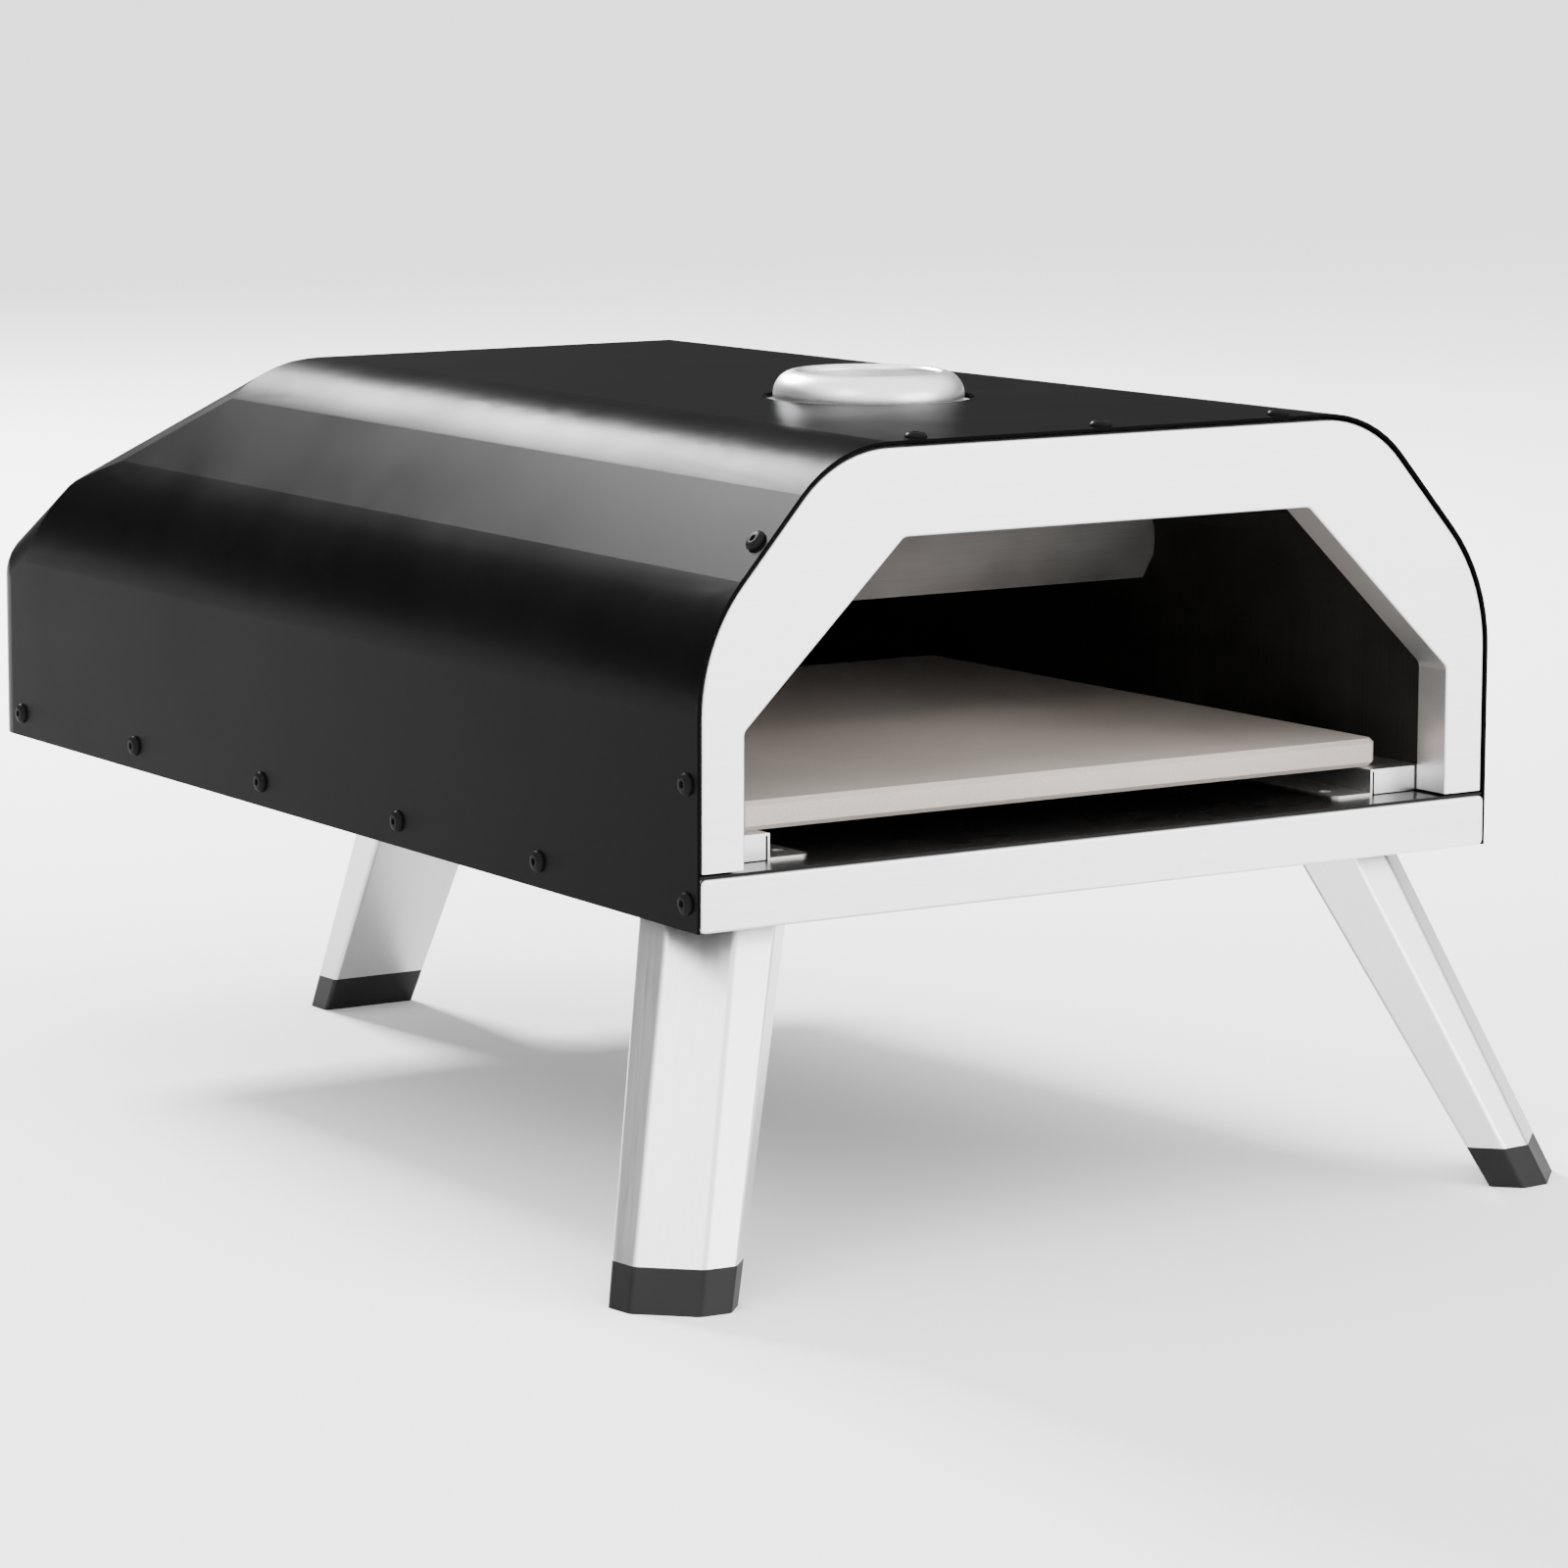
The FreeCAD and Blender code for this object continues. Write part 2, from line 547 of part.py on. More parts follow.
def make_rail():
    """Right-hand rail: a flange on the floor, an upright web, a shelf and a front tab."""
    t = RAIL_SHEET

    def wall_x(y):
        return body_half(y) - LINER_OUT - LINER_SHEET - RAIL_GAP

    shelf = [(RAIL_WEB_X, RAIL_FRONT_Y), (wall_x(RAIL_FRONT_Y), RAIL_FRONT_Y),
             (wall_x(RAIL_REAR_Y), RAIL_REAR_Y), (RAIL_WEB_X, RAIL_REAR_Y)]
    shelf = prism(shelf, [0] * 4, on_plan, STONE_Z - t, STONE_Z)
    web = box((RAIL_WEB_X - t, RAIL_WEB_X), (RAIL_FRONT_Y, RAIL_REAR_Y), (PAN_TOP, STONE_Z))
    foot = [(RAIL_WEB_X - RAIL_FLANGE, RAIL_FRONT_Y), (RAIL_WEB_X, RAIL_FRONT_Y),
            (RAIL_WEB_X, RAIL_REAR_Y), (RAIL_WEB_X - RAIL_FLANGE, RAIL_REAR_Y)]
    foot = prism(foot, [RAIL_FOOT_R, 0, 0, RAIL_FOOT_R], on_plan, PAN_TOP, PAN_TOP + t)
    tab_x = (RAIL_WEB_X + t, wall_x(RAIL_FRONT_Y))
    tab = box(tab_x, (RAIL_FRONT_Y, RAIL_FRONT_Y + t), (PAN_TOP + FLOOR_GAP, STONE_Z))
    rail = web.fuse([shelf, foot, tab])
    holes = [Part.makeCylinder(RAIL_HOLE_R, 4, Vector(*RAIL_HOLE, PAN_TOP - 1))]
    holes += [Part.makeCylinder(SCREW_SHANK_R, 4, Vector(RAIL_SCREW_X, y, PAN_TOP - 1)) for y in RAIL_SCREW_Y]
    return rail.cut(Part.makeCompound(holes)).removeSplitter()


def make_rail_screws():
    seat_z = PAN_TOP + RAIL_SHEET
    seats = [Vector(x, y, seat_z) for x, y in rail_screw_places()]
    return Part.makeCompound([screw(seat, Z_AXIS, RAIL_SCREW_LENGTH, *SMALL_HEAD) for seat in seats])


def make_stone():
    half = STONE_HALF
    rear = STONE_FRONT_Y + STONE_DEPTH
    cut = STONE_CORNER
    right = [(half - cut, STONE_FRONT_Y), (half, STONE_FRONT_Y + cut), (half, rear - cut), (half - cut, rear)]
    points = right + [(-x, y) for x, y in reversed(right)]
    slab = prism(points, [0] * 8, on_plan, STONE_Z, STONE_Z + STONE_THICK)
    rim = [e for e in slab.Edges if e.BoundBox.ZLength < 1e-6]
    return slab.makeChamfer(STONE_BEVEL, rim)


# ---- legs ---------------------------------------------------------------------------
# A leg is drawn with its foot's outer face at the origin, u across it and v inwards.
def leg_chamfer(z):
    share = (z - GROUND_Z) / -GROUND_Z
    return [foot + (head - foot) * share for foot, head in zip(FOOT_CHAMFER, HEAD_CHAMFER)]


def leg_section(z, shrink=0.0):
    """Outline of the leg at one height: flat outer face, two bevels, open-backed sides."""
    rise = z - GROUND_Z
    cx, cy = leg_chamfer(z)
    out = rise * LEG_LEAN_OUT
    back = FOOT_DEPTH + rise * LEG_LEAN_IN
    half = LEG_FACE / 2
    points = [(-half, out), (half, out), (half + cx, out + cy), (half + cx, back), (-half - cx, back),
              (-half - cx, out + cy)]
    points = inset(points, shrink)
    bend = LEG_BEND_R - min(shrink, LEG_BEND_R - 1)
    return rounded_wire(points, [bend, bend, bend, bend / 2, bend / 2, bend], on_plan, z)


def leg_block(low, high, shrink=0.0):
    return Part.makeLoft([leg_section(low, shrink), leg_section(high, shrink)], True, True)


def pivot_v():
    return FOOT_DEPTH + (PIVOT_Z - GROUND_Z) * LEG_LEAN_IN - PIVOT_IN


def pivot_rod(radius, half_length):
    return Part.makeCylinder(radius, 2 * half_length, Vector(-half_length, pivot_v(), PIVOT_Z), X_AXIS)


def make_leg():
    low = GROUND_Z + CAP_HEIGHT
    tube = leg_block(low, LEG_TOP_Z).cut(leg_block(low - 1, LEG_TOP_Z + 1, LEG_SHEET))
    return tube.cut(pivot_rod(PIN_R + PIN_FIT, 2 * LEG_FACE))


def make_cap():
    shoe = leg_block(GROUND_Z, GROUND_Z + CAP_HEIGHT)
    plug = leg_block(GROUND_Z + CAP_HEIGHT - 1, GROUND_Z + CAP_HEIGHT + PLUG_HEIGHT, LEG_SHEET + 0.1)
    return shoe.fuse(plug)


def cheek_x():
    return LEG_FACE / 2 + leg_chamfer(LEG_TOP_Z)[0] + BRACKET_GAP


def make_bracket():
    """Plate under the floor with two cheeks for the pin and a block that stops the leg."""
    ceiling = PAN_TOP - SHEET
    base_z = ceiling - BRACKET_SHEET
    centre = pivot_v()
    inner = cheek_x()
    outer = inner + BRACKET_SHEET
    nose, shoulder, tail = [centre + reach for reach in BRACKET_REACH]
    right = [(BRACKET_NOSE_HALF, nose), (outer, shoulder), (outer, tail)]
    plan = right + [(-x, y) for x, y in reversed(right)]
    base = prism(plan, [BRACKET_CORNER_R] * 6, on_plan, base_z, ceiling)
    ear = [(centre + EAR_TOP[0], ceiling), (centre + EAR_TOP[0], EAR_WAIST_Z[0]),
           (centre + EAR_TIP[0], CHEEK_BOTTOM), (centre + EAR_TIP[1], CHEEK_BOTTOM),
           (centre + EAR_TOP[1], EAR_WAIST_Z[1]), (centre + EAR_TOP[1], ceiling)]
    cheeks = both_sides(prism(ear, EAR_R, on_side, inner, outer))
    stop = box((-STOP_HALF, STOP_HALF), (nose, nose + STOP_THICK), (LEG_TOP_Z + STOP_GAP, ceiling))
    bracket = base.fuse(cheeks + [stop]).cut(pivot_rod(PIN_R, 2 * LEG_FACE))
    holes = [Part.makeCylinder(SCREW_SHANK_R, 6, Vector(x, centre + y, base_z - 1)) for x, y in BRACKET_SCREWS]
    return bracket.cut(Part.makeCompound(holes)).removeSplitter()


def make_pin():
    reach = cheek_x() + BRACKET_SHEET
    rod = pivot_rod(PIN_R, reach)
    head = Part.makeCylinder(*PIN_HEAD, Vector(reach, pivot_v(), PIVOT_Z), X_AXIS)
    return rod.fuse(both_sides(head))


def make_bracket_screws():
    seat_z = PAN_TOP - SHEET - BRACKET_SHEET
    seats = [Vector(x, pivot_v() + y, seat_z) for x, y in BRACKET_SCREWS]
    return Part.makeCompound([screw(seat, Z_AXIS * -1, BRACKET_SHEET, *BRACKET_SCREW_HEAD) for seat in seats])


def on_front_left(shape):
    placed = shape.copy()
    placed.Placement = FreeCAD.Placement(Vector(-FRONT_FOOT[0], FRONT_FOOT[1], 0),
                                         FreeCAD.Rotation(Z_AXIS, -LEG_TURN))
    return placed


def on_front_right(shape):
    return mirrored(on_front_left(shape))


def on_rear(shape):
    placed = shape.copy()
    placed.Placement = FreeCAD.Placement(Vector(0, REAR_FOOT_Y, 0), FreeCAD.Rotation(Z_AXIS, 180))
    return placed


# ---- fuel drawer --------------------------------------------------------------------
def handle_holes(radius, start_y):
    starts = [Vector(x, start_y, HANDLE_Z) for x in (-HANDLE_HALF, HANDLE_HALF)]
    return [Part.makeCylinder(radius, 10, start, Y_AXIS) for start in starts]


def make_drawer_front():
    low, high = DRAWER_Z
    face = [(-DRAWER_HALF, low), (DRAWER_HALF, low), (DRAWER_HALF, high), (-DRAWER_HALF, high)]
    start = BODY_DEPTH + DRAWER_GAP
    front = prism(face, [DRAWER_CORNER_R] * 4, on_front, start, start + DRAWER_SHEET)
    return front.cut(Part.makeCompound(handle_holes(SCREW_SHANK_R, BODY_DEPTH - 2)))


def make_fuel_tray():
    """Open-topped tray with a ledge along each side for the grate and vents in its inner end."""
    t = TRAY_SHEET
    rear = BODY_DEPTH + DRAWER_GAP
    inner_half = TRAY_HALF - t
    inner_y = (TRAY_FRONT_Y + t, rear - t)
    outer = box((-TRAY_HALF, TRAY_HALF), (TRAY_FRONT_Y, rear), TRAY_Z)
    inner = box((-inner_half, inner_half), inner_y, (TRAY_Z[0] + t, TRAY_Z[1] + 1))
    ledge = box((inner_half - LEDGE_WIDTH, inner_half), inner_y, (GRATE_Z - LEDGE_THICK, GRATE_Z))
    vents = [Part.makeCylinder(VENT_R, 4, Vector(x, TRAY_FRONT_Y - 1, VENT_Z), Y_AXIS) for x in VENT_X]
    holes = handle_holes(SCREW_SHANK_R + SCREW_FIT, BODY_DEPTH - 6)
    return outer.cut(inner).fuse(both_sides(ledge)).cut(Part.makeCompound(vents + holes)).removeSplitter()


def make_grate():
    half = TRAY_HALF - TRAY_SHEET - GRATE_SIDE_GAP
    front = TRAY_FRONT_Y + TRAY_SHEET + GRATE_SIDE_GAP
    plate = box((-half, half), (front, BODY_DEPTH - GRATE_REAR_GAP), (GRATE_Z, GRATE_Z + GRATE_SHEET))
    slot_half = GRATE_SLOT[0] / 2
    slots = []
    for x in GRATE_SLOT_X:
        for y in GRATE_SLOT_Y:
            end = y + GRATE_SLOT[1]
            outline = [(x - slot_half, y), (x + slot_half, y), (x + slot_half, end), (x - slot_half, end)]
            slots.append(prism(outline, [slot_half] * 4, on_plan, GRATE_Z - 1, GRATE_Z + GRATE_SHEET + 1))
    return plate.cut(Part.makeCompound(slots))


def make_handle():
    """Round bar bent into a bow, screwed on through the drawer's front."""
    base = BODY_DEPTH + DRAWER_GAP + DRAWER_SHEET
    far = base + HANDLE_REACH
    half = HANDLE_HALF
    bend = HANDLE_BEND_R
    tip = bend * (1 - math.sqrt(0.5))

    def at(x, y):
        return Vector(x, y, HANDLE_Z)

    left_bend = Part.Arc(at(-half, far - bend), at(tip - half, far - tip), at(bend - half, far))
    right_bend = Part.Arc(at(half - bend, far), at(half - tip, far - tip), at(half, far - bend))
    path = Part.Wire([
        Part.makeLine(at(-half, base), at(-half, far - bend)),
        left_bend.toShape(),
        Part.makeLine(at(bend - half, far), at(half - bend, far)),
        right_bend.toShape(),
        Part.makeLine(at(half, far - bend), at(half, base))])
    ring = Part.Wire(Part.makeCircle(HANDLE_R, at(-half, base), Y_AXIS))
    bar = path.makePipeShell([ring], True, False)
    starts = [at(x, base - 1) for x in (-half, half)]
    threads = [Part.makeCylinder(SCREW_SHANK_R, HANDLE_THREAD + 1, start, Y_AXIS) for start in starts]
    return bar.cut(Part.makeCompound(threads))


def make_handle_screws():
    seat_y = BODY_DEPTH + DRAWER_GAP - TRAY_SHEET
    length = TRAY_SHEET + DRAWER_SHEET + HANDLE_THREAD
    seats = [Vector(x, seat_y, HANDLE_Z) for x in (-HANDLE_HALF, HANDLE_HALF)]
    return Part.makeCompound([screw(seat, Y_AXIS * -1, length, *SMALL_HEAD) for seat in seats])


# ---- assembly -----------------------------------------------------------------------
rail = make_rail()
leg_pieces = {
    "_leg": make_leg(),
    "_foot_cap": make_cap(),
    "_leg_bracket": make_bracket(),
    "_hinge_pin": make_pin(),
}
leg_places = {"front_left": on_front_left, "front_right": on_front_right, "rear": on_rear}
side_screws = [s for seat, out in side_places for s in both_sides(screw(seat, out))]
front_screws = [s for seat, out in front_places for s in both_sides(screw(seat, out))]
front_screws += [screw(seat, out) for seat, out in roof_places]

pieces = {
    "outer_shell": make_shell(),
    "front_plate": make_front_plate(),
    "front_sill": make_front_sill(),
    "floor_pan": make_floor_pan(),
    "chamber_liner": make_chamber(),
    "insulation_blanket": make_blanket(),
    "flame_baffle": make_baffle(),
    "flue_sleeve": make_flue_sleeve(),
    "chimney_collar": make_collar(),
    "left_stone_rail": mirrored(rail),
    "right_stone_rail": rail,
    "rail_screws": make_rail_screws(),
    "pizza_stone": make_stone(),
    "shell_side_screws": Part.makeCompound(side_screws),
    "shell_front_screws": Part.makeCompound(front_screws),
    "fuel_port_sleeve": make_port_sleeve(),
    "fuel_drawer_front": make_drawer_front(),
    "fuel_tray": make_fuel_tray(),
    "fuel_grate": make_grate(),
    "fuel_drawer_handle": make_handle(),
    "handle_screws": make_handle_screws(),
}
for corner, place in leg_places.items():
    for ending, shape in leg_pieces.items():
        pieces[corner + ending] = place(shape)
under_screws = make_bracket_screws()
pieces["bracket_screws"] = Part.makeCompound([place(under_screws) for place in leg_places.values()])

extent = Part.makeCompound(list(pieces.values())).optimalBoundingBox(False, False)
shift = Vector(-extent.Center.x, -extent.Center.y, -extent.ZMin)
os.makedirs("parts", exist_ok=True)
for name, shape in pieces.items():
    placed = shape.copy()
    placed.translate(shift)
    placed.exportStep(os.path.join("parts", name + ".step"))
    state = "valid" if placed.isValid() else "NOT VALID"
    print(name, state, len(placed.Solids), round(placed.Volume / 1000, 2))
print("size", extent.XLength, extent.YLength, extent.ZLength, "shift", shift)
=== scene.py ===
import math

import bpy
from mathutils import Matrix, Vector

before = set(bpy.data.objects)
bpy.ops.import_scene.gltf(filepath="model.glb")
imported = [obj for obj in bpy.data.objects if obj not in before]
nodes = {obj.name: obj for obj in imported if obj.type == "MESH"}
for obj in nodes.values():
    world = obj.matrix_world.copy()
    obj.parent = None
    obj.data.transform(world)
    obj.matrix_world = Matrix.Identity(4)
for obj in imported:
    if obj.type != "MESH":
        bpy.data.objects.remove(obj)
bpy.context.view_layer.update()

X, Y, Z = (1, 0, 0), (0, 1, 0), (0, 0, 1)

# ---- camera, metres and degrees -----------------------------------------------------
CAMERA_AT = Vector((-1.46844, -2.27645, 0.56086))
YAW = math.radians(33.99)
PITCH = math.radians(8.71)
ROLL = math.radians(0.13)
LENS = 137.8
SENSOR = 36
FARTHEST = 200

# ---- legs ---------------------------------------------------------------------------
LEG_TURN = math.radians(44.5)    # the front legs stand on the body's diagonals
LEG_LEAN = 0.554                 # mean run of a leg per metre of height
LEG_INWARD = {
    "front_left": (math.sin(LEG_TURN), math.cos(LEG_TURN)),
    "front_right": (-math.sin(LEG_TURN), math.cos(LEG_TURN)),
    "rear": (0, -1),
}
# The rear leg's darker colour is painted shade; all three legs are the same brushed steel.
LEG_COLOUR_AND_SHADE = {"front_left": 0.78, "front_right": 0.78, "rear": 0.55}

# ---- studio -------------------------------------------------------------------------
FLOOR_HALF = 60
FLOOR_WHITE = 0.93
SKY_DIRECTION = (0, -0.30, 0.70)    # the sky brightens upwards and towards the front
SKY_DARK = 0.06
SKY_DARK_UNTIL = 0.05
SKY_WHITE_FROM = 0.45
SKY_STRENGTH = 3.0


# ---- node helpers -------------------------------------------------------------------
def grey(value):
    return (value, value, value)


class Graph:
    """Short names for building a shader."""

    def __init__(self, name):
        self.material = bpy.data.materials.new(name)
        self.material.use_nodes = True
        self.tree = self.material.node_tree
        self.shader = self.tree.nodes["Principled BSDF"]

    def node(self, kind, **settings):
        made = self.tree.nodes.new(kind)
        for key, value in settings.items():
            setattr(made, key, value)
        return made

    def link(self, source, target):
        self.tree.links.new(source, target)

    def feed(self, source, socket):
        """Drives one of the shader's sockets."""
        self.link(source, self.shader.inputs[socket])

    def set(self, **values):
        for key, value in values.items():
            socket = self.shader.inputs[key.replace("_", " ")]
            socket.default_value = (*value, 1) if isinstance(value, tuple) else value

    def place(self):
        return self.node("ShaderNodeTexCoord").outputs["Object"]

    def stretched(self, axes, scales):
        """Object coordinates measured along three axes, each with its own scale."""
        source = self.place()
        joined = self.node("ShaderNodeCombineXYZ")
        for i, (axis, scale) in enumerate(zip(axes, scales)):
            dot = self.node("ShaderNodeVectorMath", operation="DOT_PRODUCT")
            self.link(source, dot.inputs[0])
            dot.inputs[1].default_value = tuple(Vector(axis) * scale)
            self.link(dot.outputs["Value"], joined.inputs[i])
        return joined.outputs[0]

    def noise(self, vector, scale=1.0, detail=2.0, rough=0.5):
        made = self.node("ShaderNodeTexNoise")
        made.inputs["Scale"].default_value = scale
        made.inputs["Detail"].default_value = detail
        made.inputs["Roughness"].default_value = rough
        self.link(vector, made.inputs["Vector"])
        return made.outputs["Fac"]

    def remap(self, value, low, high, start=0.0, end=1.0):
        """The value's range from start to end becomes low to high."""
        made = self.node("ShaderNodeMapRange")
        for name, number in zip(("From Min", "From Max", "To Min", "To Max"), (start, end, low, high)):
            made.inputs[name].default_value = number
        self.link(value, made.inputs["Value"])
        return made.outputs[0]

    def vary(self, socket, value, low, high):
        """Lets a noise move one of the shader's numbers between two limits."""
        self.feed(self.remap(value, low, high, start=0.3, end=0.7), socket)

    def ramp(self, value, stops):
        made = self.node("ShaderNodeValToRGB")
        while len(made.color_ramp.elements) < len(stops):
            made.color_ramp.elements.new(0.5)
        for element, (at, colour) in zip(made.color_ramp.elements, stops):
            element.position = at
            element.color = (*colour, 1)
        self.link(value, made.inputs[0])
        return made.outputs[0]

    def bump(self, height, strength, distance):
        made = self.node("ShaderNodeBump")
        made.inputs["Strength"].default_value = strength
        made.inputs["Distance"].default_value = distance
        self.link(height, made.inputs["Height"])
        self.feed(made.outputs[0], "Normal")

    def mix(self, factor, first, second):
        made = self.node("ShaderNodeMix", data_type="FLOAT")
        self.link(factor, made.inputs[0])
        self.link(first, made.inputs[2])
        self.link(second, made.inputs[3])
        return made.outputs[0]


# ---- materials ----------------------------------------------------------------------
def powder_coat(name, colour=0.0018, roughness=0.31, grain=0.03, ior=1.06):
    """Black coat, slightly uneven in sheen, with a fine orange peel."""
    g = Graph(name)
    place = g.place()
    cloud = g.noise(place, scale=14, detail=3)
    peel = g.noise(place, scale=900, detail=2)
    g.feed(g.ramp(cloud, [(0.3, grey(colour * 0.85)), (0.7, grey(colour * 1.2))]), "Base Color")
    g.vary("Roughness", cloud, roughness - 0.03, roughness + 0.04)
    g.set(IOR=ior)
    g.bump(peel, strength=grain, distance=0.0004)
    return g.material


def brushed(name, across, along, colour, roughness, fine=1.0):
    """Brushed steel with its grain running along one direction."""
    g = Graph(name)
    across = Vector(across).normalized()
    along = Vector(along).normalized()
    axes = (across, along, across.cross(along))
    grain = g.noise(g.stretched(axes, (2600, 26, 2600)), detail=3, rough=0.65)
    coarse = g.noise(g.stretched(axes, (900, 8, 900)), detail=2)
    cloud = g.noise(g.place(), scale=9, detail=2)
    both = g.mix(g.remap(cloud, low=0.35, high=0.65), grain, coarse)
    stops = [(0.32, grey(colour * 0.94)), (0.68, grey(min(colour * 1.03, 1)))]
    g.feed(g.ramp(both, stops), "Base Color")
    g.vary("Roughness", both, roughness - 0.04, roughness + 0.05)
    g.set(Metallic=1.0)
    g.bump(grain, strength=0.06 * fine, distance=0.0001)
    return g.material


def dark_steel(name, low, high, roughness=0.5, metallic=0.8, across=X, along=Z):
    """Steel in cloudy patches over a faint grain."""
    g = Graph(name)
    across, along = Vector(across), Vector(along)
    axes = (across, along, across.cross(along))
    grain = g.noise(g.stretched(axes, (1500, 20, 1500)), detail=3)
    patches = g.noise(g.place(), scale=11, detail=4, rough=0.6)
    both = g.mix(g.remap(grain, low=0.2, high=0.4), patches, grain)
    g.feed(g.ramp(both, [(0.35, low), (0.65, high)]), "Base Color")
    g.vary("Roughness", patches, roughness - 0.1, roughness + 0.15)
    g.set(Metallic=metallic)
    g.bump(grain, strength=0.08, distance=0.0002)
    return g.material


def stone_look():
    """Greige cordierite, cloudy and finely speckled."""
    g = Graph("cordierite")
    place = g.place()
    speck = g.noise(place, scale=1100, detail=3, rough=0.6)
    cloud = g.noise(place, scale=7, detail=4, rough=0.55)
    both = g.mix(g.remap(cloud, low=0.25, high=0.6), cloud, speck)
    stops = [(0.30, (0.33, 0.285, 0.25)), (0.55, (0.44, 0.385, 0.345)), (0.8, (0.52, 0.465, 0.42))]
    g.feed(g.ramp(both, stops), "Base Color")
    g.vary("Roughness", cloud, 0.42, 0.55)
    g.bump(speck, strength=0.08, distance=0.0004)
    return g.material


def plastic(name):
    """Black moulded plastic with a fine texture."""
    g = Graph(name)
    place = g.place()
    grain = g.noise(place, scale=1400, detail=3)
    cloud = g.noise(place, scale=30, detail=2)
    g.feed(g.ramp(cloud, [(0.3, grey(0.006)), (0.7, grey(0.010))]), "Base Color")
    g.vary("Roughness", cloud, 0.44, 0.54)
    g.bump(grain, strength=0.12, distance=0.0003)
    g.set(Specular_IOR_Level=0.15)
    return g.material


def fibre():
    """White ceramic fibre, matted and dull."""
    g = Graph("ceramic_fibre")
    strand = g.noise(g.place(), scale=160, detail=5, rough=0.7)
    g.feed(g.ramp(strand, [(0.3, (0.62, 0.61, 0.58)), (0.7, (0.85, 0.84, 0.81))]), "Base Color")
    g.set(Roughness=0.95)
    g.bump(strand, strength=0.6, distance=0.002)
    return g.material


# ---- materials on the frame ---------------------------------------------------------
def give(material, *names):
    for name in names:
        piece = nodes[name]
        piece.data.materials.clear()
        piece.data.materials.append(material)
        for face in piece.data.polygons:
            face.material_index = 0


give(powder_coat("black_powder_coat"), "outer_shell", "fuel_drawer_front")
give(powder_coat("black_floor_enamel", colour=0.003, roughness=0.28, ior=1.2), "floor_pan")
give(brushed("brushed_front", Z, X, colour=0.86, roughness=0.38, fine=0.5), "front_plate", "front_sill")
give(brushed("brushed_rails", Z, X, colour=0.72, roughness=0.30), "left_stone_rail", "right_stone_rail")
# The chamber steel's colour is near black, far darker than the baffle steel.
give(dark_steel("chamber_steel", (0.012, 0.011, 0.010), (0.035, 0.032, 0.030)),
     "chamber_liner", "fuel_port_sleeve", "fuel_tray", "fuel_grate")
give(dark_steel("baffle_steel", grey(0.66), (0.84, 0.83, 0.82), 0.45, metallic=1.0, across=Z, along=X),
     "flame_baffle", "flue_sleeve")
give(brushed("collar_steel", Z, X, colour=0.80, roughness=0.34, fine=0.2), "chimney_collar")
give(brushed("bracket_steel", X, Y, colour=0.60, roughness=0.34), "fuel_drawer_handle",
     "front_left_leg_bracket", "front_right_leg_bracket", "rear_leg_bracket",
     "front_left_hinge_pin", "front_right_hinge_pin", "rear_hinge_pin")
give(stone_look(), "pizza_stone")
give(fibre(), "insulation_blanket")
give(plastic("black_cap_plastic"), "front_left_foot_cap", "front_right_foot_cap", "rear_foot_cap")
give(powder_coat("black_screws", colour=0.008, roughness=0.32, grain=0.02),
     "shell_side_screws", "shell_front_screws", "rail_screws", "handle_screws", "bracket_screws")

for leg, inward in LEG_INWARD.items():
    leg_along = (inward[0] * LEG_LEAN, inward[1] * LEG_LEAN, 1)
    leg_across = (inward[1], -inward[0], 0)
    # The rear leg's darker colour here is painted shade.
    steel = brushed(leg + "_leg_steel", leg_across, leg_along, LEG_COLOUR_AND_SHADE[leg], roughness=0.34, fine=0.5)
    give(steel, leg + "_leg")


# ---- camera, floor and light --------------------------------------------------------
def add_to_scene(thing):
    bpy.context.scene.collection.objects.link(thing)


def add_camera():
    forward = Vector((math.sin(YAW) * math.cos(PITCH), math.cos(YAW) * math.cos(PITCH), -math.sin(PITCH)))
    level = Vector((math.cos(YAW), -math.sin(YAW), 0))
    upright = level.cross(forward)
    right = level * math.cos(ROLL) + upright * math.sin(ROLL)
    up = upright * math.cos(ROLL) - level * math.sin(ROLL)
    turn = Matrix((right, up, -forward)).transposed().to_4x4()
    camera = bpy.data.objects.new("camera", bpy.data.cameras.new("camera"))
    camera.data.sensor_width = SENSOR
    camera.data.lens = LENS
    camera.data.clip_end = FARTHEST
    camera.matrix_world = Matrix.Translation(CAMERA_AT) @ turn
    add_to_scene(camera)
    bpy.context.scene.camera = camera


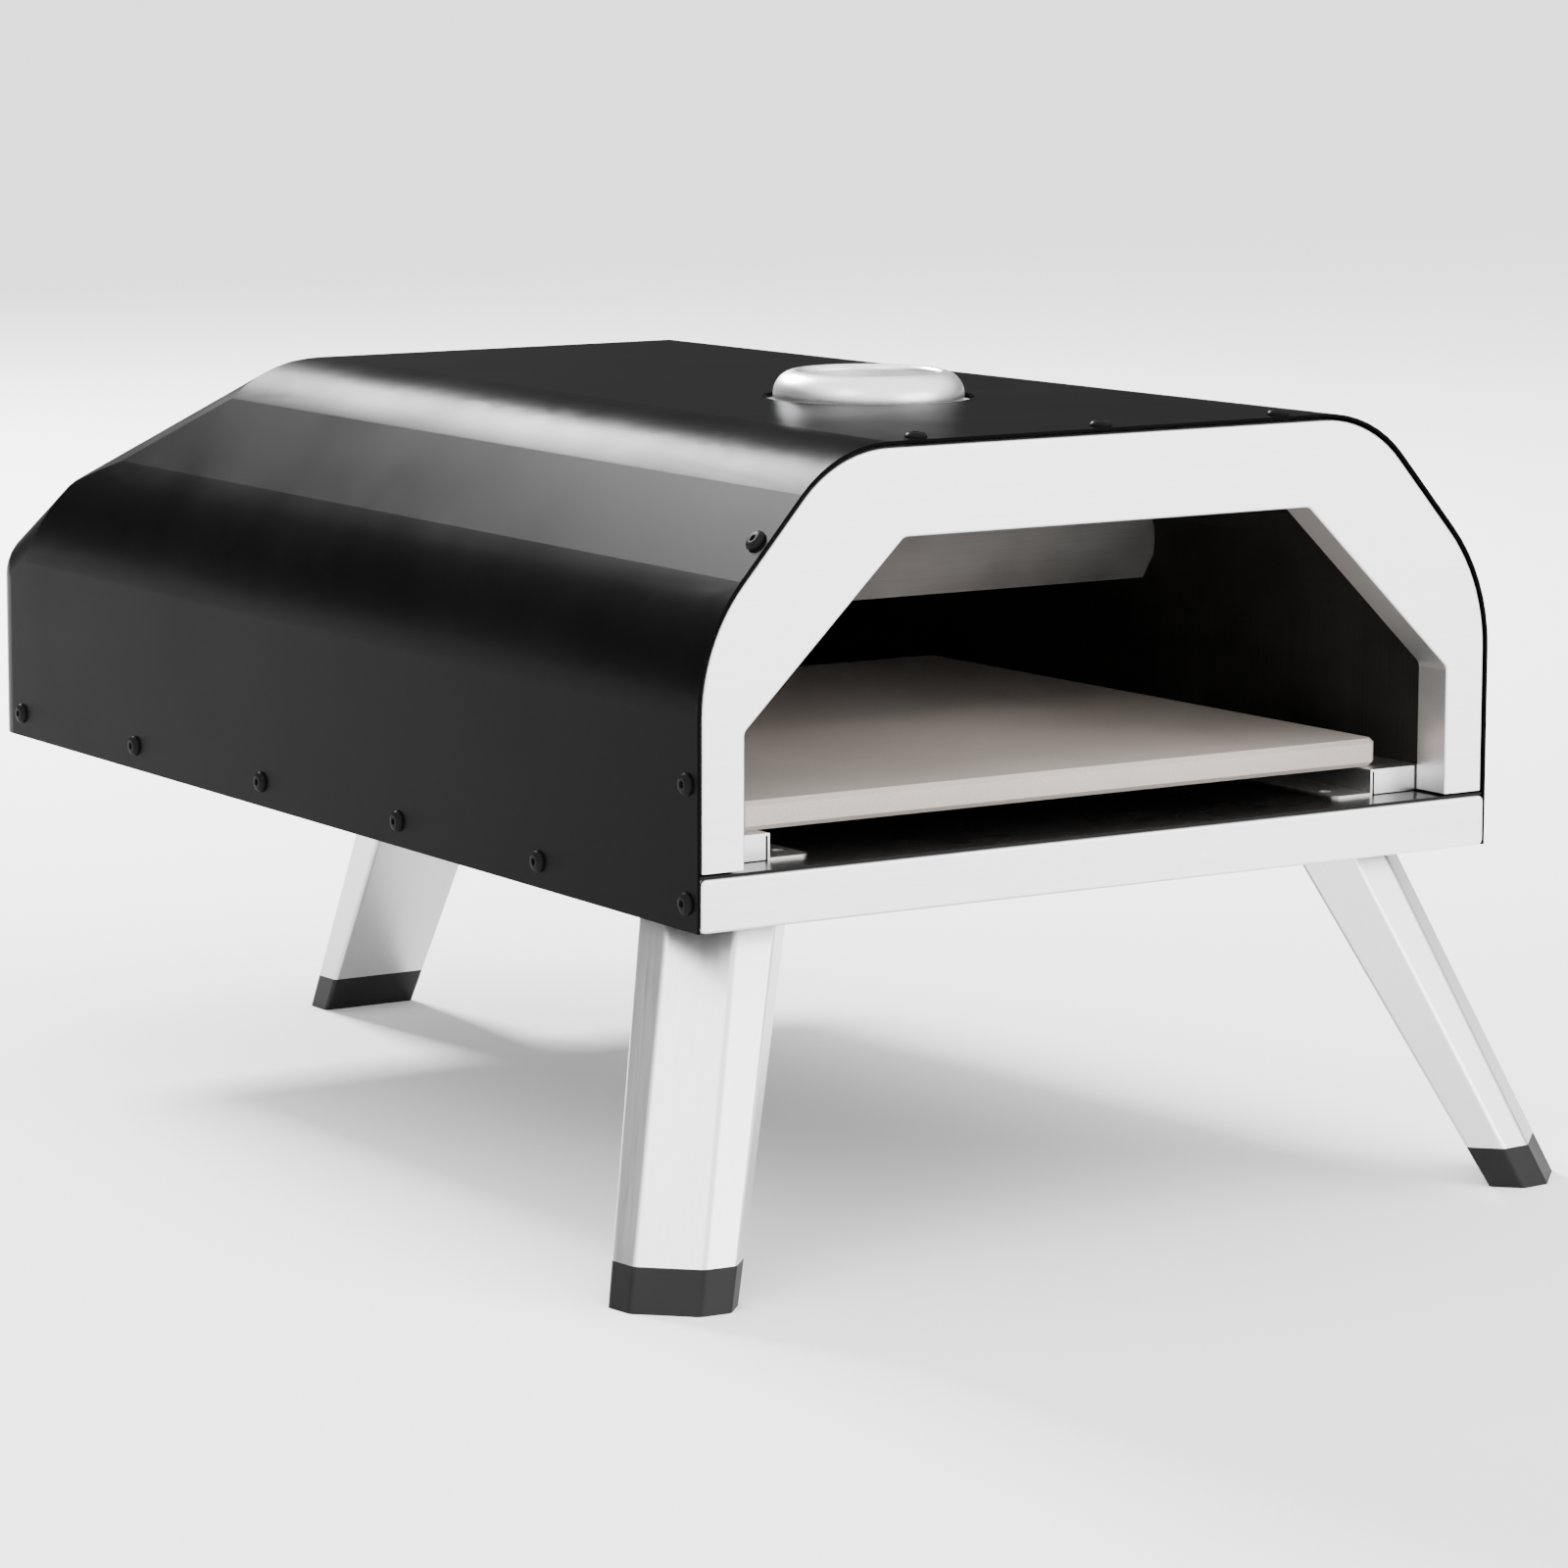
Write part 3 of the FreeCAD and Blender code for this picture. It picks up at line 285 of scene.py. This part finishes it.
def add_floor():
    corners = [(-FLOOR_HALF, -FLOOR_HALF, 0), (FLOOR_HALF, -FLOOR_HALF, 0),
               (FLOOR_HALF, FLOOR_HALF, 0), (-FLOOR_HALF, FLOOR_HALF, 0)]
    mesh = bpy.data.meshes.new("floor")
    mesh.from_pydata(corners, [], [(0, 1, 2, 3)])
    floor = bpy.data.objects.new("floor", mesh)
    add_to_scene(floor)
    g = Graph("pale_floor")
    g.set(Base_Color=grey(FLOOR_WHITE), Roughness=0.9, Specular_IOR_Level=0.1)
    mesh.materials.append(g.material)


def add_softbox(name, at, aim, size, power):
    data = bpy.data.lights.new(name, "AREA")
    data.shape = "RECTANGLE"
    data.size, data.size_y = size
    data.energy = power
    light = bpy.data.objects.new(name, data)
    light.location = at
    light.rotation_euler = (Vector(aim) - Vector(at)).to_track_quat("-Z", "Y").to_euler()
    add_to_scene(light)


def add_sky():
    world = bpy.data.worlds.new("studio")
    world.use_nodes = True
    tree = world.node_tree
    place = tree.nodes.new("ShaderNodeTexCoord")
    rise = tree.nodes.new("ShaderNodeVectorMath")
    rise.operation = "DOT_PRODUCT"
    rise.inputs[1].default_value = SKY_DIRECTION
    ramp = tree.nodes.new("ShaderNodeValToRGB")
    low, high = ramp.color_ramp.elements
    low.position, low.color = SKY_DARK_UNTIL, (*grey(SKY_DARK), 1)
    high.position, high.color = SKY_WHITE_FROM, (*grey(1), 1)
    background = tree.nodes["Background"]
    background.inputs["Strength"].default_value = SKY_STRENGTH
    tree.links.new(place.outputs["Generated"], rise.inputs[0])
    tree.links.new(rise.outputs["Value"], ramp.inputs[0])
    tree.links.new(ramp.outputs[0], background.inputs["Color"])
    bpy.context.scene.world = world


add_camera()
add_floor()
add_sky()
add_softbox("back_strip", at=(0.1, 3.4, 2.45), aim=(0, 0, 0.25), size=(1.1, 0.5), power=520)
add_softbox("front_key", at=(1.6, -3.4, 1.0), aim=(0, 0, 0.25), size=(2.8, 1.8), power=80)
add_softbox("left_fill", at=(-3.0, -1.6, 2.8), aim=(0, 0, 0.2), size=(1.6, 1.6), power=30)
